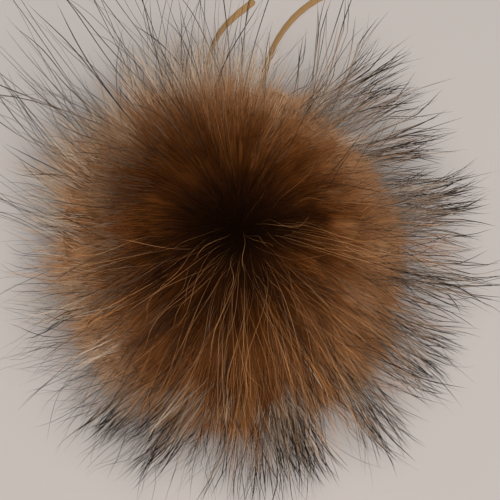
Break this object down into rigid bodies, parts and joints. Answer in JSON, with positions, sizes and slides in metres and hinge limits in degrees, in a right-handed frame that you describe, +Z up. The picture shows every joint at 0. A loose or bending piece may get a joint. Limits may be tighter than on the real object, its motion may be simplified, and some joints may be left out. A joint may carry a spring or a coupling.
{
  "type": "fur pom pom with lace ends",
  "caption": "Round fur pom pom of dense underfur and long dark-tipped guard hair parted at a whorl, with two flat lace ends for tying it on.",
  "frame": {"origin": "middle of the small flat spot that the pom pom rests on", "axes": "+Z up through the whorl, +Y towards the side where the lace ends lie, +X to the right as seen from above with +Y up the picture"},
  "size_m": [0.1564, 0.1708, 0.1105],
  "materials": {
    "fur": "soft fur pile, warm brown with near-black whorl and tips",
    "lace": "matt golden tan flat lace"
  },
  "bodies": {
    "root": {"fur_ball": "fur", "lace_short_end": "lace", "lace_long_end": "lace"}
  },
  "joints": []
}
